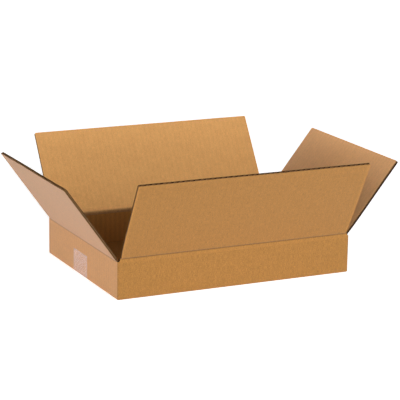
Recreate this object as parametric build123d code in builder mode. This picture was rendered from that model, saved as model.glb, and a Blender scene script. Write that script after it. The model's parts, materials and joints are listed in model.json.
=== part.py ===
from build123d import *
import math
import os

# A shallow slotted carton of corrugated board, standing on its taped bottom with its four top flaps open.
# X runs along the carton's length, Y from its front wall to its back wall, and Z up from the surface that
# it stands on. The origin is the middle of its underside.

# Driving dimensions, in millimetres and degrees
inside_length = 355.6  # between the end walls
inside_width = 254.0  # between the long walls
inside_depth = 50.8  # from the bottom's upper layer to the long walls' top creases
board = 3.8  # thickness of the corrugated board
facing = 0.35  # each of the board's two flat sheets
medium = 0.3  # the wavy sheet between them
flute_pitch = 7.95  # from one wave of the wavy sheet to the next
flute_crest = 1.6  # flat top of a wave, glued to a facing
crushed_edge = 6.0  # the waves are crushed shut this far from a crease
layer_gap = 0.2  # between two layers of board that lie on each other
side_gap = 0.4  # between a folded flap's side and the wall next to it
seam_gap = 1.6  # between the free edges of two long flaps that meet
fold_radius = 2.0  # outside of a folded edge
corner_cut = 1.5  # blunted free corners of the flaps
crease_angle = 46.0  # slope of the board on each side of a top crease
tab_width = 32.0  # glued tab inside the back right corner
tab_taper = 75.0  # angle between the tab's folded edge and its sloping ends
tab_clearance = 2.0  # from the tab to the flaps above and below it
joint_gap = 0.8  # the back wall's cut end stops this far short of the corner
tape_width = 50.8  # clear tape over the bottom seam
tape_thickness = 0.06  # film with its glue
tape_tail = 34.0  # height of the tape up each end wall
tape_shift = 5.0  # the tape was laid this far off the seam, towards the back
front_angle = 27.6  # how far each open flap leans out from upright
back_angle = 32.7
left_angle = 35.8
right_angle = 38.8

# Sizes that follow from the driving dimensions
outer_length = inside_length + 2 * board
outer_width = inside_width + 2 * board
upper_floor = 2 * board + layer_gap
long_crease = upper_floor + inside_depth
crease_drop = board + layer_gap
end_crease = long_crease - crease_drop
flap_length = (outer_width - seam_gap) / 2
slot_inset = board + side_gap
long_flap_width = outer_length - 2 * slot_inset
end_flap_width = outer_width - 2 * slot_inset
crease_rise = board * math.tan(math.radians(crease_angle))

# The hollow of one flute, between a facing and the wavy sheet
cell_height = board - 2 * facing - medium
wave_run = flute_pitch / 2 - flute_crest
wave_angle = math.degrees(math.atan2(cell_height, wave_run))
wave_side = medium / 2 / math.sin(math.radians(wave_angle))
cell_width = flute_crest + 2 * wave_run * (1 + medium / 2 / cell_height) - 2 * wave_side

UP = Vector(0, 0, 1)
FRONT = Vector(0, -1, 0)
BACK = Vector(0, 1, 0)
LEFT = Vector(-1, 0, 0)
RIGHT = Vector(1, 0, 0)


def across(origin, outward, along):
    """The plane across a crease: its x points out of the board and its y runs along the board."""
    return Plane(origin=origin, x_dir=outward, z_dir=outward.cross(along))


def cut_crease(section, length):
    """Slope the board away from a crease, from nothing at its outer face to the full rise inside."""
    with BuildSketch(section) as slope:
        with BuildLine():
            Polyline((0, 0), (-board, 0), (-board, crease_rise), close=True)
        make_face()
    extrude(slope.sketch, amount=length / 2, both=True, mode=Mode.SUBTRACT)


def cut_flutes(free_edge, width, depth):
    """Open the flutes of a flap at its free edge: the plane's y points out of the board's outer face."""
    count = int(width / flute_pitch) + 2
    with BuildSketch(free_edge) as cells:
        with Locations((0, -facing)):
            with GridLocations(flute_pitch, 0, count, 1):
                Trapezoid(cell_width, cell_height, wave_angle, rotation=180, align=(Align.CENTER, Align.MIN))
        with Locations((flute_pitch / 2, facing - board)):
            with GridLocations(flute_pitch, 0, count, 1):
                Trapezoid(cell_width, cell_height, wave_angle, align=(Align.CENTER, Align.MIN))
    extrude(cells.sketch, amount=-depth, mode=Mode.SUBTRACT)


def finish(piece, name):
    """Name a finished piece and write it out."""
    piece.part.label = name
    export_step(piece.part, f"parts/{name}.step")


def top_flap(name, outward, reach, height, width, lean):
    """One open top flap, from the crease that it hangs on to its free edge."""
    turn = math.radians(lean)
    hinge = outward * reach + UP * height
    along = outward * math.sin(turn) + UP * math.cos(turn)
    face = outward * math.cos(turn) - UP * math.sin(turn)
    with BuildPart() as flap:
        with BuildSketch(Plane(origin=hinge, x_dir=along.cross(face), z_dir=face)):
            Rectangle(width, flap_length, align=(Align.CENTER, Align.MIN))
            chamfer(vertices().group_by(Axis.Y)[-1], corner_cut)
        extrude(amount=-board)
        cut_crease(across(hinge, face, along), width)
        free_edge = Plane(origin=hinge + along * flap_length, x_dir=face.cross(along), z_dir=along)
        cut_flutes(free_edge, width, flap_length - crushed_edge)
    finish(flap, name)
    return flap


os.makedirs("parts", exist_ok=True)

# The tape: one strip under the bottom seam, folded up round the bottom edges onto the end walls
with BuildPart() as sealing_tape:
    with BuildSketch(Plane.XZ.offset(-tape_shift)):
        with BuildLine():
            half_tape = outer_length / 2 + tape_thickness
            FilletPolyline(
                (-half_tape, tape_tail),
                (-half_tape, 0),
                (half_tape, 0),
                (half_tape, tape_tail),
                radius=fold_radius + tape_thickness,
            )
            offset(amount=tape_thickness, side=Side.LEFT)
        make_face()
    extrude(amount=tape_width / 2, both=True)
finish(sealing_tape, "sealing_tape")

# The body: four walls, the glued tab and the four closed bottom flaps, all folded from one sheet
with BuildPart() as carton_body:
    with BuildSketch():
        Rectangle(outer_length, outer_width)
        folded_corners = vertices().sort_by(lambda corner: corner.X + corner.Y)[:-1]
        fillet(folded_corners, fold_radius)
    extrude(amount=long_crease)
    fillet(faces().sort_by(Axis.Z)[0].edges(), fold_radius)

    # Hollow it out, and lower the end walls to their own creases
    with BuildSketch():
        Rectangle(inside_length, inside_width)
    extrude(amount=long_crease, mode=Mode.SUBTRACT)
    with BuildSketch(Plane.XY.offset(end_crease)):
        Rectangle(outer_length, inside_width)
    extrude(amount=crease_drop, mode=Mode.SUBTRACT)

    # Round ends of the slots that part the top flaps at the corners
    with BuildSketch(Plane.XZ):
        with Locations((0, end_crease + slot_inset)):
            with GridLocations(outer_length, 0, 2, 1):
                Circle(slot_inset)
    extrude(amount=outer_width / 2, both=True, mode=Mode.SUBTRACT)

    # The walls slope in to their top creases
    for outward in (FRONT, BACK):
        cut_crease(across(outward * outer_width / 2 + UP * long_crease, outward, -UP), outer_length)
    for outward in (LEFT, RIGHT):
        cut_crease(across(outward * outer_length / 2 + UP * end_crease, outward, -UP), inside_width)

    # The glued corner: the end wall turns in under the back wall, whose cut end shows an open flute
    with BuildSketch():
        with Locations((outer_length / 2, inside_width / 2)):
            Rectangle(fold_radius, fold_radius, align=Align.MAX)
        with Locations((outer_length / 2 - fold_radius, inside_width / 2 - fold_radius)):
            Circle(fold_radius, mode=Mode.SUBTRACT)
        with Locations((outer_length / 2, outer_width / 2)):
            Rectangle(joint_gap, board, align=Align.MAX)
    extrude(amount=long_crease, mode=Mode.SUBTRACT)
    with BuildSketch(Plane.XY.offset(crushed_edge)):
        with Locations((outer_length / 2 - joint_gap, outer_width / 2 - board / 2)):
            Rectangle(flute_crest, board - 2 * facing, align=(Align.MAX, Align.CENTER))
    extrude(amount=end_crease - 2 * crushed_edge, mode=Mode.SUBTRACT)

    # The tab that is glued to the inside of the back wall
    tab_bottom = upper_floor + tab_clearance
    tab_height = end_crease - crease_rise - tab_clearance - tab_bottom
    with BuildSketch(Plane.XZ.offset(board - inside_width / 2)):
        with Locations((inside_length / 2, tab_bottom + tab_height / 2)):
            Trapezoid(tab_height, tab_width, tab_taper, rotation=90, align=(Align.CENTER, Align.MIN))
    extrude(amount=-board)

    # Long bottom flaps, which meet at the taped seam
    with BuildSketch():
        Rectangle(long_flap_width, inside_width)
        Rectangle(long_flap_width, seam_gap, mode=Mode.SUBTRACT)
    extrude(amount=board)

    # End bottom flaps, which lie on the long ones
    with BuildSketch(Plane.XY.offset(board + layer_gap)):
        Rectangle(inside_length, end_flap_width)
        Rectangle(outer_length - 2 * flap_length, end_flap_width, mode=Mode.SUBTRACT)
    extrude(amount=board)
    for outward in (LEFT, RIGHT):
        step = outward * (outer_length / 2 - flap_length) + UP * (board + layer_gap)
        free_edge = Plane(origin=step, x_dir=UP.cross(outward), z_dir=-outward)
        cut_flutes(free_edge, end_flap_width, flap_length - board - crushed_edge)

    add(sealing_tape.part, mode=Mode.SUBTRACT)
finish(carton_body, "carton_body")

# The four top flaps
front_flap = top_flap("front_flap", FRONT, outer_width / 2, long_crease, long_flap_width, front_angle)
back_flap = top_flap("back_flap", BACK, outer_width / 2, long_crease, long_flap_width, back_angle)
left_flap = top_flap("left_flap", LEFT, outer_length / 2, end_crease, end_flap_width, left_angle)
right_flap = top_flap("right_flap", RIGHT, outer_length / 2, end_crease, end_flap_width, right_angle)
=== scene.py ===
import json
import math
import bpy
import numpy as np
from mathutils import Euler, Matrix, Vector


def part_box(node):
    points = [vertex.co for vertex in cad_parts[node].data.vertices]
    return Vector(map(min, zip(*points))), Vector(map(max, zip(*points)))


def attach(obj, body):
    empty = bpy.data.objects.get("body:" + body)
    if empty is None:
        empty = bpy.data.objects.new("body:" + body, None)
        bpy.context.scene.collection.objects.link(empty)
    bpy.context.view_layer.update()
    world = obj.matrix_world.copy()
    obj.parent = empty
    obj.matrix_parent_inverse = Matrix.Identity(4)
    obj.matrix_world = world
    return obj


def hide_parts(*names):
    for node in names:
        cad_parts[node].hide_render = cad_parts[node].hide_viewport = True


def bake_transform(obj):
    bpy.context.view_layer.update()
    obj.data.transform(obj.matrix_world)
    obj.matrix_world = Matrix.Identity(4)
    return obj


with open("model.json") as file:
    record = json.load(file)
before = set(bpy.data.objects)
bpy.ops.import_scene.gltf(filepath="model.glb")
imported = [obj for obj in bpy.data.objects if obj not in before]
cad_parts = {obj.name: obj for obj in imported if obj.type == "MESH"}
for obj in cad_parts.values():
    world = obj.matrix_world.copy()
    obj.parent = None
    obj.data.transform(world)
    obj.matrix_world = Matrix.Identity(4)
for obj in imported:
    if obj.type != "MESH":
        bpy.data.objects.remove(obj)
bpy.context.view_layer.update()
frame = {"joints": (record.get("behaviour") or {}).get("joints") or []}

# Sizes that the frame gives
_, WALLS_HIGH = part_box("carton_body")
HALF_LENGTH = WALLS_HIGH.x
HALF_WIDTH = WALLS_HIGH.y

# Sizes of the board
MM = 0.001
BOARD = 3.8 * MM
FACING = 0.35 * MM
MEDIUM = 0.3 * MM
PITCH = 7.95 * MM
STEPS_PER_FLUTE = 8
WASHBOARD = 0.05 * MM  # how far the facings sink between the flutes that hold them
FLAT_CREST = 1.12  # the wave is this much taller than its room, so that its crests are cut off flat
WAVE_SHARE = 0.97  # share of the room between the facings that the wave fills
WAVE_CLEARANCE = 0.004 * MM  # at least this lies between the wave and a facing

# Sizes of the folds
STRIP = 6 * MM  # the flap pieces reach this far down the walls
FOLD_REACH = 1 * MM  # half the width of the bend in a crease
SCORE_DEPTH = 0.35 * MM
SCORE_WIDTH = 0.9 * MM
DENT_DEPTH = 1.6 * MM
DENT_WIDTH = 2.2 * MM
BEND_REACH = 4 * MM  # the board bends this far on each side of a crease
CORNER_RADIUS = 2 * MM
BOTTOM_RADIUS = 1.9 * MM
INNER_RADIUS = 0.5 * MM
GLUED_RADIUS = 1 * MM
JOINT_GAP = 0.8 * MM
SLOT_INSET = 4.2 * MM
SLOT_X = HALF_LENGTH - SLOT_INSET  # the slots at the corners reach in to here
SLOT_Y = HALF_WIDTH - SLOT_INSET
SLOT_HOLLOW = 1.3 * MM  # how far the board is open between its facings in a slot
FLAP_LENGTH = 130 * MM
BLUNT = 2 * MM  # radius of the flaps' free corners
SLOT_FLARE = 2 * MM  # the slots between the flaps are this much wider on each side at their bottom
SLOT_REACH = 9 * MM
SLOT_START = 1.2 * MM  # the flare grows over about this height above the crease

# The flaps aren't quite flat. Closed, the long ones lie on the end ones, so they bow apart.
BOW = 0.3 * MM
BOW_ACROSS = 170 * MM
FINE_BOW = 0.06 * MM
FINE_BOW_ACROSS = 28 * MM
RAGGED = 0.07 * MM
RAGGED_ACROSS = 6 * MM
WORN_WIDTH = 1.4 * MM

# Sizes of the bottom
LAYER_GAP = 0.2 * MM
SEAM_GAP = 1.6 * MM
TAPE_LOW, TAPE_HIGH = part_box("sealing_tape")
TAPE_TAIL = TAPE_HIGH.z
TAPE_THICKNESS = 0.06 * MM
TAPE_PROUD = 0.02 * MM  # the film stands this far off the end walls
TAPE_ROOM = 0.1 * MM  # the board over the tape lies this far above the rest of the underside
TAPE_MARGIN = 0.1 * MM
TAPE_WORN = 0.8 * MM  # the film's cloudy edge reaches this far in
TAIL_STEPS = 16
UNDER_STEPS = 40
CRUSHED = 6 * MM  # the bottom flaps' flutes are crushed shut this far from their folds

# Sizes of the glued tab
TAB_WIDTH = 32 * MM
TAB_LOW = 9.8 * MM
TAB_HIGH = 48.7 * MM
TAB_SLOPE = math.tan(math.radians(15))
TAB_START = 0.8 * MM  # the tab is flat from this far past the inner corner
TAB_BEND = 0.3 * MM

# The open flute in the back wall's cut end
END_HOLLOW = 1.6 * MM
END_OPEN_LOW = 6 * MM
END_OPEN_HIGH = 48 * MM

# The walls at their corners
CORNER_SHADE = 2.2 * MM  # how far the painted shade at a corner reaches
WASHBOARD_START = {1: 2 * MM, -1: 5 * MM}  # this far from a corner on the outer and on the inner face
WASHBOARD_RISE = 3 * MM
NEAR = 1e-6  # tolerance for the points that lie on a wall

# The papers, in the order of each piece's materials: SHADED_PAPER is the inner paper's darker painted-shade
# copy
FACING_PAPER, CUT_PAPER, SHADED_PAPER = 0, 1, 2

# How pale the cut paper is, from 0, the near-black painted shade inside the flutes, to 1
# Painted shade: the backs of the facings inside the flutes and the cut tops in the slots are painted
# near-black
HOLLOW_SHADE_TONE = 0.02
WAVE_TONE = 0.42
RIM_TONE = 0.3  # the facings' cut edges, and the wavy sheet's at a side cut, darkened partly as painted shade
SIDE_CUT_GLIMPSE = 0.1  # the waves that show past a side cut catch this much more light
DASHES = 0.95  # painted light and shade: how much paler than between them a cut across the flutes is at each wave's crest
WALL_SHADE = 0.15  # painted shade: the long walls are darkened this much of the way to a crease's painted shade
CREASE_SHADE_WIDTH = 1.1 * MM  # half the width of the shade painted along a crease

UP = np.array([0.0, 0.0, 1.0])
RIPPLE_WAVES = 9


def ripple(x, y, size, seed):
    """A smooth random height between about -1 and 1, whose hills are about that size across."""
    wave = np.random.default_rng(seed)
    total = np.zeros(np.broadcast(x, y).shape)
    for _ in range(RIPPLE_WAVES):
        turn = wave.uniform(0, 2 * math.pi)
        pace = 2 * math.pi / (size * wave.uniform(0.7, 1.9))
        total = total + np.sin((x * math.cos(turn) + y * math.sin(turn)) * pace + wave.uniform(0, 6.28))
    return total / (RIPPLE_WAVES / 2)


class Sheets:
    """Grids of points, gathered into one mesh. Each point keeps its place on the flat sheet and its marks:
    how pale it is where the board is cut, with shade painted into the flutes, how much shade is painted on it
    at a crease, a corner or a long wall, and how worn it is."""

    def __init__(self):
        self.points, self.places, self.marks, self.faces, self.papers = [], [], [], [], []
        self.count = 0

    def grid(self, points, place, marks, flip=False, paper=FACING_PAPER):
        rows, columns = points.shape[:2]
        index = np.arange(rows * columns).reshape(rows, columns) + self.count
        corners = [index[:-1, :-1], index[1:, :-1], index[1:, 1:], index[:-1, 1:]]
        if flip:
            corners.reverse()
        self.faces.append(np.stack(corners, -1).reshape(-1, 4))
        self.points.append(points.reshape(-1, 3))
        self.places.append(np.broadcast_to(place, points.shape).reshape(-1, 3))
        self.marks.append(np.broadcast_to(marks, points.shape).reshape(-1, 3))
        self.papers.append(np.full((rows - 1) * (columns - 1), paper, np.int32))
        self.count += rows * columns

    def mesh(self, name, shift=None):
        points = np.concatenate(self.points)
        if shift is not None:
            points = shift(points)
        faces = np.concatenate(self.faces)
        mesh = bpy.data.meshes.new(name)
        mesh.vertices.add(len(points))
        mesh.vertices.foreach_set("co", points.astype(np.float32).ravel())
        mesh.loops.add(faces.size)
        mesh.loops.foreach_set("vertex_index", faces.astype(np.int32).ravel())
        mesh.polygons.add(len(faces))
        mesh.polygons.foreach_set("loop_start", np.arange(0, faces.size, 4, dtype=np.int32))
        mesh.polygons.foreach_set("material_index", np.concatenate(self.papers))
        mesh.update(calc_edges=True)
        mesh.shade_smooth()
        place = mesh.attributes.new("sheet", "FLOAT_VECTOR", "POINT")
        place.data.foreach_set("vector", np.concatenate(self.places).astype(np.float32).ravel())
        marks = mesh.attributes.new("marks", "FLOAT_VECTOR", "POINT")
        marks.data.foreach_set("vector", np.concatenate(self.marks).astype(np.float32).ravel())
        made = bpy.data.objects.new(name, mesh)
        bpy.context.scene.collection.objects.link(made)
        return made


def stack(x, y, z):
    """Three arrays of any matching shapes as one array of vectors."""
    return np.stack(np.broadcast_arrays(x, y, z), -1)


def flute(along):
    """Height of the wavy sheet between -1 and 1, at a place along the whole blank."""
    return np.clip(FLAT_CREST * np.cos(2 * math.pi * along / PITCH), -1, 1)


def flute_slope(along):
    """How steep the wavy sheet is at that place, for a height of one."""
    turn = 2 * math.pi * along / PITCH
    steep = FLAT_CREST * np.sin(turn) * 2 * math.pi / PITCH
    return np.where(abs(FLAT_CREST * np.cos(turn)) < 1, steep, 0)


def sink(along, side):
    """How far a facing lies below its flutes' crests, for side 1, the outer facing, or -1, the inner one."""
    return WASHBOARD * (0.5 - 0.5 * side * np.cos(2 * math.pi * along / PITCH))


def flute_steps(length):
    """How many steps a run across the flutes is cut into."""
    return round(length / PITCH * STEPS_PER_FLUTE)


def zero(u, s):
    """Nothing all over: the level of an outer face with no crease in it, or no wear."""
    return 0 * u + 0 * s


def flat_back(u, s):
    """The level of an inner face with no crease in it."""
    return -BOARD + 0 * u + 0 * s


def board(sheets, at, u, s, outer, inner, start, crush=None, closed=(), flip=False, worn=None,
          papers=(FACING_PAPER, FACING_PAPER)):
    """One board between two surfaces. u runs across the flutes, from a place start on the blank, and s runs
    along them. outer(u, s) and inner(u, s) say where its two faces lie: 0 is the nominal outer face and
    -BOARD the inner one. at(u, s, n) gives the point at such a level n. closed names the edges that join on
    to other board: s0, s1, u0 or u1."""
    coarse = s[np.unique(np.linspace(0, len(s) - 1, 16).round().astype(int))]
    worn = worn or zero
    crush = crush or (lambda s: 1 + 0 * s)

    def top(u, s):
        return outer(u, s) - sink(start + u, 1)

    def top_back(u, s):
        return top(u, s) - FACING

    def low(u, s):
        return inner(u, s) + sink(start + u, -1)

    def low_back(u, s):
        return low(u, s) + FACING

    def middle(u, s):
        room = np.maximum(top_back(u, s) - low_back(u, s) - MEDIUM, 0)
        return (top_back(u, s) + low_back(u, s)) / 2 + room / 2 * WAVE_SHARE * flute(start + u) * crush(s)

    def half_medium(u):
        steep = flute_slope(start + u) * (BOARD - 2 * FACING - MEDIUM) / 2
        return MEDIUM / 2 * np.sqrt(1 + steep**2)

    def wave_top(u, s):
        return np.minimum(middle(u, s) + half_medium(u), top_back(u, s) - WAVE_CLEARANCE)

    def wave_low(u, s):
        return np.maximum(middle(u, s) - half_medium(u), low_back(u, s) + WAVE_CLEARANCE)

    def layer(depth, side, s, turn, tone=None):
        uu, ss = u[:, None], s[None, :]
        # Painted shade: darker along a crease on the outer face, and fully darker on the inner face below a
        # crease
        line = np.exp(-((ss / CREASE_SHADE_WIDTH) ** 2))
        if side:
            line = np.clip(-ss / (2 * CREASE_SHADE_WIDTH), 0, 1) if "s0" in closed else 0 * ss
        shown = tone or 0.0
        if tone == WAVE_TONE:
            from_side = np.minimum(uu - u[0], u[-1] - uu)
            shown = tone + SIDE_CUT_GLIMPSE * np.exp(-from_side / (PITCH / 3))
        marks = stack(shown, line if tone is None else 0.0, worn(uu, ss) * (1 - side))
        paper = CUT_PAPER if tone else papers[side]
        sheets.grid(at(uu, ss, depth(uu, ss)), stack(start + uu, ss, side), marks, turn != flip, paper)

    def rim(high, deep, side, edge, tone):
        if edge in ("s0", "s1"):
            line_u, line_s = u, np.full_like(u, s[0] if edge == "s0" else s[-1])
        else:
            line_u, line_s = np.full_like(s, u[0] if edge == "u0" else u[-1]), s
        depths = np.stack([high(line_u, line_s), deep(line_u, line_s)])
        turn = edge in ("s1", "u0")
        place = stack(start + line_u[None, :], line_s[None, :], side)
        if edge in ("s0", "s1"):
            # Painted light and shade: dashes along a cut across the flutes
            tone = tone * (1 + DASHES * np.cos(2 * np.pi * (start + line_u[None, :]) / PITCH))
        marks = stack(tone, 0.0, 1.0)
        sheets.grid(at(line_u[None, :], line_s[None, :], depths), place, marks, turn != flip, CUT_PAPER)

    layer(top, 0, s, False)
    layer(top_back, 0, coarse, True, HOLLOW_SHADE_TONE)
    layer(low_back, 1, coarse, False, HOLLOW_SHADE_TONE)
    layer(low, 1, s, True)
    layer(wave_top, 0, coarse, False, WAVE_TONE)
    layer(wave_low, 1, coarse, True, WAVE_TONE)
    for edge in ("s0", "s1", "u0", "u1"):
        if edge not in closed:
            rim(top, top_back, 0, edge, RIM_TONE)
            rim(low_back, low, 1, edge, RIM_TONE)
            rim(wave_top, wave_low, 0, edge, RIM_TONE if edge in ("u0", "u1") else WAVE_TONE)


def turn_points(centre, radius, begin, end):
    """Points along an arc, between two angles in degrees."""
    angle = np.radians(np.linspace(begin, end, 7))
    return stack(centre[0] + radius * np.cos(angle), centre[1] + radius * np.sin(angle), 0.0)[:, :2]


def straight(a, b, cuts=()):
    """Points along a straight run of wall, about a flute's eighth apart, with points at the given cuts."""
    a, b = np.array(a), np.array(b)
    length = np.linalg.norm(b - a)
    places = sorted({0.0, length, *(float(c) for c in cuts)})
    steps = []
    for low, high in zip(places, places[1:]):
        count = max(1, flute_steps(high - low))
        steps.append(np.linspace(low, high, count + 1)[:-1])
    steps = np.append(np.concatenate(steps), length)
    return a + (b - a) * (steps / length)[:, None], steps / length


def wall_path():
    """The walls as one path round the blank, from the back wall's cut end to the glued tab: its outer and
    inner lines, and each point's place along the blank."""
    a, b = HALF_LENGTH, HALF_WIDTH
    r, i, t, g = CORNER_RADIUS, INNER_RADIUS, BOARD, GLUED_RADIUS
    j, k = a - t, b - t
    legs = [
        ("line", (a - JOINT_GAP, b), (-a + r, b), (a - JOINT_GAP, k), (-j + i, k)),
        ("turn", (-a + r, b - r), r, (-j + i, k - i), i, 90, 180),
        ("line", (-a, b - r), (-a, -b + r), (-j, k - i), (-j, -k + i)),
        ("turn", (-a + r, -b + r), r, (-j + i, -k + i), i, 180, 270),
        ("line", (-a + r, -b), (a - r, -b), (-j + i, -k), (j - i, -k)),
        ("turn", (a - r, -b + r), r, (j - i, -k + i), i, 270, 360),
        ("line", (a, -b + r), (a, k - g), (j, -k + i), (j, k - t - i)),
        ("turn", (a - g, k - g), g, (j - i, k - t - i), i, 0, 90),
        ("line", (a - g, k), (j + TAB_BEND, k), (j - i, k - t), (j - TAB_START, k - t)),
    ]
    outer, inner = [], []
    for leg in legs:
        if leg[0] == "turn":
            outer.append(turn_points(leg[1], leg[2], leg[5], leg[6]))
            inner.append(turn_points(leg[3], leg[4], leg[5], leg[6]))
            continue
        begin, end = np.array(leg[1]), np.array(leg[2])
        length = np.linalg.norm(end - begin)
        direction = (end - begin) / length
        axis = int(abs(direction[1]) > 0.5)
        limit = (SLOT_X, SLOT_Y)[axis]
        cuts = [(side * limit - begin[axis]) * direction[axis] for side in (-1, 1)]
        points, parts = straight(begin, end, [c for c in cuts if 0 < c < length])
        outer.append(points)
        inner.append(np.array(leg[3]) + (np.array(leg[4]) - np.array(leg[3])) * parts[:, None])
    outer = np.concatenate([o if n == 0 else o[1:] for n, o in enumerate(outer)])
    inner = np.concatenate([o if n == 0 else o[1:] for n, o in enumerate(inner)])
    along = np.append(0, np.cumsum(np.linalg.norm(np.diff(outer, axis=0), axis=1)))
    return outer, inner, along


outer_line, inner_line, blank = wall_path()


def place_on_blank(x, y):
    """The place along the blank of the wall point nearest to x, y."""
    return float(blank[np.argmin(np.hypot(outer_line[:, 0] - x, outer_line[:, 1] - y))])


class Crease:
    """One flap's crease, as the frame gives it."""

    def __init__(self, joint):
        self.body = joint["child"]
        self.hinge = np.array(joint["pos_m"], float)
        self.along = np.array(joint["axis"], float)
        self.outward = np.cross(self.along, UP)
        self.lean = math.radians(-joint["range_deg"][0] - 90)
        low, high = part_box(self.body)
        size = np.abs(np.array(high - low) @ self.along)
        self.half = float(size) / 2
        self.start = place_on_blank(*self.hinge[:2])
        bend = FOLD_REACH / math.tan(self.lean / 2)
        self.radius, self.arc = bend, bend * self.lean

    def at(self, u, s, n):
        """The point at u along the crease, s up the board from it and n out from the board's outer face."""
        reach, radius, half = FOLD_REACH, self.radius, self.arc / 2
        turn = np.clip((s + half) / radius, 0, self.lean)
        out = radius - radius * np.cos(turn)
        high = -reach + radius * np.sin(turn)
        past = np.maximum(s - half, 0)
        out = out + past * math.sin(self.lean)
        high = high + past * math.cos(self.lean) + np.minimum(s + half, 0)
        out = out + n * np.cos(turn)
        high = high - n * np.sin(turn)
        u, out, high = np.broadcast_arrays(u, out, high)
        return self.hinge + u[..., None] * self.along + out[..., None] * self.outward + high[..., None] * UP


creases = {joint["child"]: Crease(joint) for joint in frame["joints"]}


def score(u, s):
    """The level of the outer face: the crease's shallow groove."""
    return -SCORE_DEPTH * np.exp(-((s / SCORE_WIDTH) ** 2)) + 0 * u


def dent(u, s):
    """The level of the inner face, pressed in along the crease."""
    return -BOARD + DENT_DEPTH * np.exp(-((s / DENT_WIDTH) ** 2)) + 0 * u


def flap_rows():
    """Places up a flap from its crease: close together at the crease and at the rounded tip."""
    near = np.array([6, 4.6, 3.6, 2.8, 2.1, 1.5, 1.0, 0.6, 0.25])
    far = np.array([9, 15, 24, 36, 50, 64, 78, 92, 104, 114, 121, 125.5])
    tip = FLAP_LENGTH / MM - BLUNT / MM * np.array([1, 0.82, 0.62, 0.42, 0.24, 0.1, 0])
    return np.concatenate([-near, [0], near[::-1], far, tip]) * MM


def make_flap(name):
    """One top flap, from the strip of wall under its crease to its free edge."""
    crease = creases[name]
    sheets = Sheets()
    u = np.linspace(-crease.half, crease.half, flute_steps(2 * crease.half) + 1)
    s = flap_rows()
    s[-1] -= FOLD_REACH - crease.arc / 2
    seed = len(name)
    is_long = abs(crease.outward[1]) > 0.5
    away = 1 if is_long else -1

    def at(u, s, n):
        past = np.clip((s - (FLAP_LENGTH - BLUNT)) / BLUNT, 0, 1)
        pulled = BLUNT * (1 - np.sqrt(np.maximum(1 - past**2, 0)))
        edge = np.clip((np.abs(u) - (crease.half - 3 * BLUNT)) / (3 * BLUNT), 0, 1)
        rise = np.maximum(s, 0)
        flare = SLOT_FLARE * np.exp(-rise / SLOT_REACH)
        pulled = pulled + flare * (1 - np.exp(-((rise / SLOT_START) ** 2)))
        flat = np.clip((s - 2 * STRIP) / FLAP_LENGTH, 0, 1)
        at_tip = s > FLAP_LENGTH - 0.1 * MM
        ragged = RAGGED * ripple(u, 0 * s + (n < -BOARD / 2), RAGGED_ACROSS, seed) * at_tip
        waves = BOW + BOW * ripple(u, s, BOW_ACROSS, seed + 1)
        waves = waves + FINE_BOW * ripple(u, s, FINE_BOW_ACROSS, seed + 2)
        bow = away * flat * np.maximum(waves, 0)
        return crease.at(u - np.sign(u) * edge * pulled, s + ragged, n + bow)

    def worn(u, s):
        side = np.exp(-(crease.half - np.abs(u)) / WORN_WIDTH)
        end = 0.5 * np.exp(-(FLAP_LENGTH - s) / WORN_WIDTH)
        return np.clip(side * (s > -BEND_REACH) + end, 0, 1)

    board(sheets, at, u, s, score, dent, crease.start, closed=("s0",), worn=worn)
    piece = sheets.mesh(name + "_board")
    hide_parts(name)
    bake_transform(piece)
    return piece


flaps = [make_flap(name) for name in creases]


def wall_point(outer, inner, z, depth):
    """A point of the walls at that height and depth below their outer face."""
    flat = outer + (inner - outer) * (depth / BOARD)[..., None]
    return np.concatenate([flat, np.broadcast_to(z, flat.shape[:-1])[..., None]], -1)


SLOT_CENTRE = creases["left_flap"].hinge[2] + SLOT_INSET


def slot_height(x):
    """Top of the walls in the rounded slots at the corners."""
    away = np.minimum(HALF_LENGTH - np.abs(x), SLOT_INSET)
    return SLOT_CENTRE - np.sqrt(SLOT_INSET**2 - np.maximum(away, 0) ** 2)


def wall_runs():
    """Stretches of the wall path as (kind, first, last): kind 1 is a long wall, 2 an end wall, 0 a corner."""
    flat_x, flat_y = np.abs(outer_line[:, 0]), np.abs(outer_line[:, 1])
    long_wall = (flat_x <= SLOT_X + NEAR) & (flat_y > HALF_WIDTH - NEAR)
    end_wall = (flat_y <= SLOT_Y + NEAR) & (flat_x > HALF_LENGTH - NEAR)
    kind = np.where(long_wall, 1, np.where(end_wall, 2, 0))
    runs, begin = [], 0
    for n in range(1, len(kind)):
        if kind[n] != kind[n - 1]:
            last = n - 1 if kind[n - 1] else n
            runs.append((kind[n - 1], begin, last))
            begin = last
    runs.append((kind[-1], begin, len(kind) - 1))
    return runs


def open_section(hollow):
    """Depths across a cut through the board, and how far each is set back: two facings with a hollow between
    them."""
    depth = np.array([0, 1, 1, BOARD / FACING - 1, BOARD / FACING - 1, BOARD / FACING]) * FACING
    return depth, np.array([0, 0, 1, 1, 0, 0]) * hollow


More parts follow.
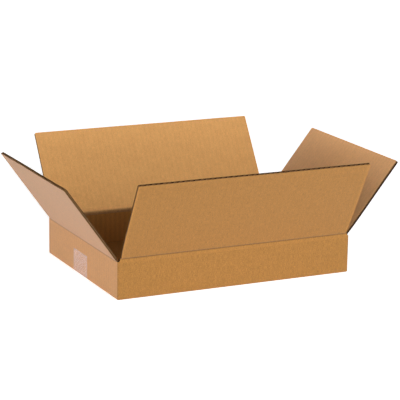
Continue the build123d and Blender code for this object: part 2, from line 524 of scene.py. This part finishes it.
def make_walls():
    """The walls, from the underside's rim up to the flap pieces and round the slots at the corners."""
    sheets = Sheets()
    bottom = np.radians(np.array([0, 20, 40, 60, 78, 90]))
    low_z = BOTTOM_RADIUS * (1 - np.cos(bottom))
    low_depth = BOTTOM_RADIUS * (1 - np.sin(bottom))
    body_z = np.array([8, 16, 25, 34, 41]) * MM
    for kind, first, last in wall_runs():
        outer, inner = outer_line[first : last + 1, None], inner_line[first : last + 1, None]
        along = blank[first : last + 1, None]
        flat_x, flat_y = np.abs(outer[..., 0]), np.abs(outer[..., 1])
        from_corner = np.abs(flat_x - HALF_LENGTH) + np.abs(flat_y - HALF_WIDTH)
        if kind:
            crease_z = creases["front_flap" if kind == 1 else "left_flap"].hinge[2]
            top_out = np.full(len(outer), crease_z - STRIP)
            top_in = top_out
        else:
            crease_z = creases["left_flap"].hinge[2]
            top_out, top_in = slot_height(outer[:, 0, 0]), slot_height(inner[:, 0, 0])
        folded = np.exp(-((from_corner / CORNER_SHADE) ** 2))
        # Painted shade: darker at the corners, and a little darker all over the long walls
        line = np.maximum(0.5 * folded, WALL_SHADE * (kind == 1))

        def washboard(side):
            return sink(along, side) * np.clip((from_corner - WASHBOARD_START[side]) / WASHBOARD_RISE, 0, 1)

        def surface(z, depth, side, flip, tone=None):
            z, depth = np.broadcast_arrays(z, depth)
            points = wall_point(outer, inner, z, depth)
            place = stack(along, z - crease_z, side)
            marks = stack(tone or 0.0, line, 0.0)
            # The walls' inner faces get the painted-shade copy of the paper
            paper = CUT_PAPER if tone else SHADED_PAPER if side else FACING_PAPER
            sheets.grid(points, place, marks, flip, paper)

        def heights_to(rows, top):
            return np.concatenate([np.broadcast_to(rows, (len(outer), len(rows))), top[:, None]], 1)

        depths = np.concatenate([low_depth, 0 * body_z, [0]])[None, :] + washboard(1) * (1 - folded)
        surface(heights_to(np.concatenate([low_z, body_z]), top_out), depths, 0.0, False)
        inner_heights = heights_to(np.concatenate([[0], body_z]), top_in)
        surface(inner_heights, BOARD - washboard(-1) + 0 * inner_heights, 1.0, True)
        surface(np.zeros((len(outer), 2)), np.array([[BOARD, BOTTOM_RADIUS]]), 0.0, False)
        if not kind:
            # The cut top of the walls in a slot, painted near-black as shade
            depth, sunk = open_section(SLOT_HOLLOW)
            flat_x = (outer + (inner - outer) * (depth / BOARD)[None, :, None])[..., 0]
            surface(slot_height(flat_x) - sunk, depth[None, :] + 0 * flat_x, 0.0, False, HOLLOW_SHADE_TONE)

    # The back wall's cut end, with an open flute in it
    outer, inner = outer_line[0], inner_line[0]
    z = np.linspace(BOTTOM_RADIUS, float(slot_height(outer[0])), 12)
    depth, sunk = open_section(END_HOLLOW)
    shape = (len(z), len(depth))
    points = wall_point(
        np.broadcast_to(outer, (*shape, 2)), np.broadcast_to(inner, (*shape, 2)),
        z[:, None], np.broadcast_to(depth, shape),
    )
    is_open = (z[:, None] > END_OPEN_LOW) * (z[:, None] < END_OPEN_HIGH)
    points = points - stack(sunk[None, :] * is_open, 0.0, 0.0)
    place = stack(0.0, z[:, None] + 0 * depth, 0.0)
    sheets.grid(points, place, (WAVE_TONE, 0.0, 0.0), False, CUT_PAPER)
    return sheets


def make_bottom():
    """The bottom: two long flaps that meet at the taped seam, and two end flaps on top of them."""
    sheets = Sheets()
    # Height of the outer face, half the width, length, and distance of the fold from the middle
    long_flap = (0.0, SLOT_X, HALF_WIDTH - BOARD - SEAM_GAP / 2, HALF_WIDTH - BOARD)
    end_flap = (BOARD + LAYER_GAP, SLOT_Y, FLAP_LENGTH - BOARD, HALF_LENGTH - BOARD)

    def crush(s):
        return np.clip(s / CRUSHED, 0.1, 1)

    for name, (base, half, length, reach) in (
        ("front_flap", long_flap),
        ("back_flap", long_flap),
        ("left_flap", end_flap),
        ("right_flap", end_flap),
    ):
        crease = creases[name]

        def at(u, s, n):
            u, s, n = np.broadcast_arrays(u, s, n)
            level = (base - n)[..., None] * UP
            return u[..., None] * crease.along + (reach - s)[..., None] * crease.outward + level

        u = np.linspace(-half, half, flute_steps(2 * half) + 1)
        s = np.append(np.array([0, 3, 8, 20, 40, 60, 80, 100, 115]) * MM, length)
        # The bottom's inner face gets the painted-shade copy of the paper
        board(sheets, at, u, s, zero, flat_back, crease.start, crush=crush, closed=("s0",), flip=True,
              papers=(FACING_PAPER, SHADED_PAPER))
    return sheets


def make_tab():
    """The tab that is glued to the inside of the back wall."""
    sheets = Sheets()
    middle = (TAB_LOW + TAB_HIGH) / 2
    tall = (TAB_HIGH - TAB_LOW) / 2

    def at(u, s, n):
        u, s, n = np.broadcast_arrays(u, s, n)
        x = HALF_LENGTH - BOARD - TAB_START - u
        y = HALF_WIDTH - BOARD + n
        z = middle + s * (1 - u * TAB_SLOPE / tall)
        return stack(x, y, z)

    u = np.linspace(0, TAB_WIDTH - TAB_START, flute_steps(TAB_WIDTH) + 1)
    s = np.linspace(-tall, tall, 8)
    board(sheets, at, u, s, zero, flat_back, blank[-1], closed=("u0",))
    return sheets


def lift_under_tape(points):
    """Leave room for the tape: the board above it lies a little higher than the rest of the underside."""
    points = points.copy()
    taped = (points[:, 1] > TAPE_LOW.y - TAPE_MARGIN) & (points[:, 1] < TAPE_HIGH.y + TAPE_MARGIN)
    under = taped & (points[:, 2] < BOTTOM_RADIUS)
    share = 1 - points[under, 2] / BOTTOM_RADIUS
    points[under, 2] += TAPE_ROOM * np.clip(share, 0, 1)
    return points


# What stays still when the flaps move
walls = make_walls().mesh("carton_walls", lift_under_tape)
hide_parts("carton_body")
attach(walls, "carton")
bottom = make_bottom().mesh("carton_bottom", lift_under_tape)
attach(bottom, "carton")
tab = make_tab().mesh("glued_tab")
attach(tab, "carton")


def make_tape():
    """The tape: a thin film along the seam and up both end walls."""
    sheets = Sheets()
    centre_x = HALF_LENGTH - BOTTOM_RADIUS
    radius = BOTTOM_RADIUS + TAPE_THICKNESS + TAPE_PROUD

    def line(offset):
        """The film's path at that depth inside its outer face."""
        bend = radius - offset
        tail = np.linspace(TAPE_TAIL, radius, TAIL_STEPS)
        turn = np.radians(np.linspace(0, 90, 9))
        side_x = np.concatenate([np.full(TAIL_STEPS, centre_x + bend), centre_x + bend * np.cos(turn[1:])])
        side_z = np.concatenate([tail, radius - bend * np.sin(turn[1:])])
        under = np.linspace(centre_x, -centre_x, UNDER_STEPS)[1:-1]
        x = np.concatenate([side_x, under, -side_x[::-1]])
        z = np.concatenate([side_z, np.full(len(under), offset), side_z[::-1]])
        return x, z

    y = np.linspace(TAPE_LOW.y, TAPE_HIGH.y, 25)
    grids = []
    for offset in (0.0, TAPE_THICKNESS):
        x, z = line(offset)
        grids.append(stack(x[:, None], y[None, :], z[:, None]))
    x, z = line(0.0)
    length = np.append(0, np.cumsum(np.hypot(np.diff(x), np.diff(z))))
    place = stack(length[:, None], y[None, :], 0.0)
    ends = np.minimum(length, length[-1] - length)[:, None]
    sides = np.minimum(y - y[0], y[-1] - y)[None, :]
    rim = np.exp(-np.minimum(ends, sides) / TAPE_WORN)
    sheets.grid(grids[0], place, stack(0.0, 0.0, rim), flip=True)
    sheets.grid(grids[1], place, stack(0.0, 0.0, rim), flip=False)
    for edge in (0, -1):
        strip = np.stack([grids[0][edge], grids[1][edge]])
        sheets.grid(strip, np.broadcast_to(place[edge], strip.shape), stack(1.0, 0.0, 1.0), flip=edge == 0)
        strip = np.stack([grids[0][:, edge], grids[1][:, edge]])
        sheets.grid(strip, np.broadcast_to(place[:, edge], strip.shape), stack(1.0, 0.0, 1.0), flip=edge != 0)
    return sheets


tape = make_tape().mesh("tape_film")
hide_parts("sealing_tape")
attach(tape, "carton")


# The papers' colours, each as the two ends of its mottle
OUTSIDE_KRAFT = (0.42, 0.191, 0.029, 1), (0.45, 0.206, 0.034, 1)
# INSIDE_KRAFT and SHADED_KRAFT are lit and shaded copies of the one inner paper: the paler one on the flaps
# is partly its own paler tone and partly painted light, and the darker one inside the walls and on the bottom
# is painted shade
INSIDE_KRAFT = (0.7, 0.355, 0.103, 1), (0.74, 0.385, 0.116, 1)
SHADED_KRAFT = (0.44, 0.195, 0.032, 1), (0.47, 0.21, 0.036, 1)
CUT_COLOURS = (0.03, 0.012, 0.004, 1), (0.6, 0.33, 0.14, 1)  # the near-black painted shade inside the flutes, and a pale cut edge
FILM_COLOUR = (0.88, 0.72, 0.66, 1)
SHEEN_TINT = (1, 0.93, 0.9, 1)
# How much darker painted shade makes the paper at full strength: along creases, at corners, on the long walls
# and below the inner creases
PAINTED_SHADE_STRENGTH = 0.5
WEAR_BRIGHTENS = 0.42

# How fine the papers' patterns are, in waves per metre
MOTTLE = 90
GRAIN = 820
FIBRES = 1500
CUT_GRAIN = 1600
STREAKS = 260
SPECKS = 900


class Nodes:
    """A material's node tree, with short ways to add and join its nodes."""

    def __init__(self, name, owner=None):
        self.material = owner or bpy.data.materials.new(name)
        self.material.use_nodes = True
        self.tree = self.material.node_tree
        self.tree.nodes.clear()

    def add(self, kind, inputs=(), **settings):
        node = self.tree.nodes.new("ShaderNode" + kind)
        for key, value in settings.items():
            setattr(node, key, value)
        for key, value in dict(inputs).items():
            if isinstance(value, bpy.types.NodeSocket):
                self.tree.links.new(value, node.inputs[key])
            else:
                node.inputs[key].default_value = value
        return node

    def math(self, operation, a, b=0.0, clamp=False):
        return self.add("Math", {0: a, 1: b}, operation=operation, use_clamp=clamp).outputs[0]

    def ramp(self, value, low, high, to_low=0.0, to_high=1.0):
        inputs = {"Value": value, "From Min": low, "From Max": high, "To Min": to_low, "To Max": to_high}
        return self.add("MapRange", inputs).outputs[0]

    def seen_directly(self, *kinds):
        """1 for the camera's own rays and the other kinds of ray that are named."""
        path = self.add("LightPath").outputs
        seen = path["Is Camera Ray"]
        for kind in kinds:
            seen = self.math("MAXIMUM", seen, path[kind])
        return seen

    def noise(self, vector, scale, detail=2.0, roughness=0.5, stretch=(1, 1, 1)):
        scaled = self.add("Mapping", {"Vector": vector, "Scale": stretch}).outputs[0]
        inputs = {"Vector": scaled, "Scale": scale, "Detail": detail, "Roughness": roughness}
        return self.add("TexNoise", inputs).outputs[0]

    def mix(self, factor, a, b, blend_type="MIX"):
        node = self.add("Mix", data_type="RGBA", blend_type=blend_type)
        for key, value in (("Factor", factor), ("A", a), ("B", b)):
            socket = [i for i in node.inputs if i.name == key and i.enabled][0]
            if isinstance(value, bpy.types.NodeSocket):
                self.tree.links.new(value, socket)
            else:
                socket.default_value = value
        return [o for o in node.outputs if o.enabled][0]


def kraft(name, sheen, flute_shade_strength, inside_colours):
    """The facings: matt brown paper with fine fibres, paler where it is worn, with faint flute lines painted
    as the washboard's shade, and with painted shade along creases, at corners, on the long walls and below
    the inner creases. flute_shade_strength is how strong the painted flute lines are, and inside_colours are
    the inner facing's."""
    nodes = Nodes(name)
    place = nodes.add("Attribute", attribute_name="sheet").outputs["Vector"]
    along, _, side = nodes.add("SeparateXYZ", {0: place}).outputs
    marks = nodes.add("Attribute", attribute_name="marks").outputs["Vector"]
    _, line, worn = nodes.add("SeparateXYZ", {0: marks}).outputs
    mottle = nodes.noise(place, MOTTLE, 2, 0.6, (1, 0.7, 40))
    grain = nodes.noise(place, GRAIN, 3, 0.8, (1, 0.8, 40))
    fibres = nodes.noise(place, FIBRES, 2, 0.5, (1, 0.12, 40))
    # Painted shade: flute lines painted into the colour, as the washboard's shading
    flute_shade = nodes.math("COSINE", nodes.math("MULTIPLY", along, 2 * math.pi / PITCH))
    outside = nodes.mix(nodes.ramp(mottle, 0.3, 0.7), *OUTSIDE_KRAFT)
    inside = nodes.mix(nodes.ramp(mottle, 0.3, 0.7), *inside_colours)
    paper = nodes.mix(side, outside, inside)
    fine = nodes.ramp(fibres, 0.3, 0.7, -0.5, 0.5)
    shade = nodes.math("ADD", nodes.ramp(grain, 0.25, 0.75, -1, 1), fine)
    shade = nodes.math("MULTIPLY", shade, nodes.ramp(side, 0.0, 1.0, 0.36, 0.2))
    shade = nodes.math("ADD", shade, nodes.math("MULTIPLY", flute_shade, flute_shade_strength))
    # Painted shade, from the second mark
    painted_shade = nodes.math("MULTIPLY", line, PAINTED_SHADE_STRENGTH)
    shade = nodes.math("SUBTRACT", nodes.math("ADD", shade, 1.0), painted_shade)
    shade = nodes.math("ADD", shade, nodes.math("MULTIPLY", worn, WEAR_BRIGHTENS))
    paper = nodes.add("VectorMath", {0: paper, "Scale": shade}, operation="SCALE").outputs[0]
    height = nodes.math("ADD", nodes.math("MULTIPLY", grain, 0.5), nodes.math("MULTIPLY", fibres, 0.5))
    bump = nodes.add("Bump", {"Strength": 0.35, "Distance": 0.00015, "Height": height}).outputs[0]
    rough = nodes.ramp(grain, 0.3, 0.7, 0.62, 0.78)
    shader = nodes.add("BsdfPrincipled", {
        "Base Color": paper, "Roughness": rough, "Normal": bump, "IOR": 1.5,
        "Sheen Weight": sheen, "Sheen Roughness": 0.45, "Sheen Tint": SHEEN_TINT,
    })
    nodes.add("OutputMaterial", {0: shader.outputs[0]})
    return nodes.material


def cut_board():
    """The wavy sheet, the insides of the flutes and every cut edge: rough, dark and fibrous."""
    nodes = Nodes("cut_board")
    place = nodes.add("Attribute", attribute_name="sheet").outputs["Vector"]
    marks = nodes.add("Attribute", attribute_name="marks").outputs["Vector"]
    tone = nodes.add("SeparateXYZ", {0: marks}).outputs[0]
    grain = nodes.noise(place, CUT_GRAIN, 2, 0.6)
    paper = nodes.mix(tone, *CUT_COLOURS)
    shade = nodes.ramp(grain, 0.3, 0.7, 0.75, 1.2)
    paper = nodes.add("VectorMath", {0: paper, "Scale": shade}, operation="SCALE").outputs[0]
    bump = nodes.add("Bump", {"Strength": 0.5, "Distance": 0.0002, "Height": grain}).outputs[0]
    inputs = {"Base Color": paper, "Roughness": 0.9, "Normal": bump, "IOR": 1.2}
    shader = nodes.add("BsdfPrincipled", inputs)
    nodes.add("OutputMaterial", {0: shader.outputs[0]})
    return nodes.material


def clear_tape():
    """Clear film, a little cloudy in streaks and specks and more so at its edges."""
    nodes = Nodes("clear_tape")
    place = nodes.add("Attribute", attribute_name="sheet").outputs["Vector"]
    marks = nodes.add("Attribute", attribute_name="marks").outputs["Vector"]
    worn = nodes.add("SeparateXYZ", {0: marks}).outputs[2]
    streaks = nodes.noise(place, STREAKS, 3, 0.6, (0.35, 1, 1))
    specks = nodes.noise(place, SPECKS, 2, 0.5)
    speckled = nodes.ramp(specks, 0.5, 0.75, 0, 0.08)
    cloud = nodes.math("ADD", nodes.ramp(streaks, 0.3, 0.7, 0.1, 0.3), speckled)
    cloud = nodes.math("ADD", cloud, nodes.math("MULTIPLY", worn, 0.2), clamp=True)
    bump = nodes.add("Bump", {"Strength": 0.25, "Distance": 0.0002, "Height": streaks}).outputs[0]
    film = nodes.add("BsdfPrincipled", {"Base Color": FILM_COLOUR, "Roughness": 0.3, "Normal": bump})
    clear = nodes.add("BsdfTransparent")
    both = nodes.add("MixShader", {0: cloud, 1: clear.outputs[0], 2: film.outputs[0]})
    nodes.add("OutputMaterial", {0: both.outputs[0]})
    return nodes.material


papers = [
    kraft("kraft_board", 0.53, 0.02, INSIDE_KRAFT),
    cut_board(),
    # The inner paper's painted-shade copy, for the inside of the walls and the bottom
    kraft("shaded_board", 0.0, 0.06, SHADED_KRAFT),
]
for piece in [*flaps, walls, bottom, tab]:
    for paper in papers:
        piece.data.materials.append(paper)
tape.data.materials.append(clear_tape())


# The floor, the light and the camera
FLOOR_SIZE = 60.0
FLOOR_DROP = 0.1 * MM
FLOOR_WHITE = 0.82
UNDER_EDGE = 20 * MM  # the floor loses that white under the carton, this far in from its edges
OVERHEAD = 0.09
LEFT_TINT = (1, 0.94, 0.98, 1)
KEY_PLACE = (0.57, -3.24, 1.315)  # just high enough to reach the back flap's crease over the front flap
KEY_AIM = (0, 0, 0.08)
KEY_SIZE = 0.07
KEY_POWER = 44
CAMERA_LENS = 164.5
CAMERA_SENSOR = 36
CAMERA_PLACE = (-1.1236, -2.3357, 0.7431)
CAMERA_TURN = (75.954, -0.837, -25.576)

# The surroundings' light: axis and sign of its side, strength, and the heights (sines) where it starts, is
# full, begins to fade and ends
LIGHT_BANDS = [
    ("y", -1, 2.7, (0.17, 0.24, 0.4, 0.52)),
    ("x", -1, 14.0, (-1.0, -0.9, 0.06, 0.17)),
    ("x", 1, 2.0, (-1.0, -0.9, 0.12, 0.26)),
    ("y", 1, 4.4, (-1.0, -0.9, 0.12, 0.26)),
]


def pale_floor():
    """Matt, with a white glow for the camera, for reflections and for what looks through the film. There is
    none under the carton, where it would show through the open seam."""
    nodes = Nodes("pale_floor")
    seen = nodes.seen_directly("Is Glossy Ray", "Is Transmission Ray")
    x, y, _ = nodes.add("SeparateXYZ", {0: nodes.add("NewGeometry").outputs["Position"]}).outputs
    beside = nodes.math("GREATER_THAN", nodes.math("ABSOLUTE", x), HALF_LENGTH - UNDER_EDGE)
    beyond = nodes.math("GREATER_THAN", nodes.math("ABSOLUTE", y), HALF_WIDTH - UNDER_EDGE)
    open_floor = nodes.math("MAXIMUM", beside, beyond)
    strength = nodes.math("MULTIPLY", nodes.math("MULTIPLY", seen, open_floor), FLOOR_WHITE)
    matt = nodes.add("BsdfDiffuse", {"Color": (0.85, 0.85, 0.85, 1)})
    glow = nodes.add("Emission", {"Color": (1, 1, 1, 1), "Strength": strength})
    both = nodes.add("AddShader", {0: matt.outputs[0], 1: glow.outputs[0]})
    nodes.add("OutputMaterial", {0: both.outputs[0]})
    return nodes.material


def make_floor():
    half = FLOOR_SIZE / 2
    corners = [(-half, -half, 0), (half, -half, 0), (half, half, 0), (-half, half, 0)]
    mesh = bpy.data.meshes.new("floor")
    mesh.from_pydata(corners, [], [(0, 1, 2, 3)])
    mesh.materials.append(pale_floor())
    made = bpy.data.objects.new("floor", mesh)
    bpy.context.scene.collection.objects.link(made)
    made.location.z = -FLOOR_DROP


def make_world():
    """Soft light from all round, strongest low at the left and dim overhead, so that the inside of the carton
    lies in shade."""
    world = bpy.data.worlds.new("studio")
    bpy.context.scene.world = world
    nodes = Nodes("studio_light", world)
    toward = nodes.add("TexCoord").outputs["Generated"]
    x, y, z = nodes.add("SeparateXYZ", {0: toward}).outputs
    level = OVERHEAD
    for axis, sign, strength, band in LIGHT_BANDS:
        facing = nodes.math("MULTIPLY", {"x": x, "y": y}[axis], sign, clamp=True)
        squared = nodes.math("MULTIPLY", facing, facing)
        start, full, fading, end = band
        rising = nodes.ramp(z, start, full)
        height = nodes.math("MULTIPLY", rising, nodes.ramp(z, fading, end, 1.0, 0.0))
        lit = nodes.math("MULTIPLY", nodes.math("MULTIPLY", squared, height), strength)
        level = nodes.math("ADD", level, lit)
    tint = nodes.mix(nodes.ramp(x, -0.2, -0.7), (1, 1, 1, 1), LEFT_TINT)
    around = nodes.add("Background", {"Color": tint, "Strength": level})
    white = nodes.add("Background", {"Color": (1, 1, 1, 1), "Strength": 1.0})
    seen = nodes.seen_directly("Is Transmission Ray")
    mix = nodes.add("MixShader", {0: seen, 1: around.outputs[0], 2: white.outputs[0]})
    nodes.add("OutputWorld", {0: mix.outputs[0]})


def make_key():
    """One small lamp in front, which the camera doesn't see."""
    light = bpy.data.lights.new("key", "AREA")
    light.shape = "DISK"
    light.size = KEY_SIZE
    light.energy = KEY_POWER
    made = bpy.data.objects.new("key", light)
    made.location = KEY_PLACE
    made.rotation_euler = (Vector(KEY_AIM) - Vector(KEY_PLACE)).to_track_quat("-Z", "Y").to_euler()
    bpy.context.scene.collection.objects.link(made)
    made.visible_camera = False


def make_camera():
    data = bpy.data.cameras.new("camera")
    data.lens = CAMERA_LENS
    data.sensor_width = CAMERA_SENSOR
    made = bpy.data.objects.new("camera", data)
    made.location = CAMERA_PLACE
    made.rotation_euler = Euler([math.radians(angle) for angle in CAMERA_TURN])
    bpy.context.scene.collection.objects.link(made)
    bpy.context.scene.camera = made


make_floor()
make_world()
make_key()
make_camera()
bpy.context.scene.view_settings.view_transform = "Standard"
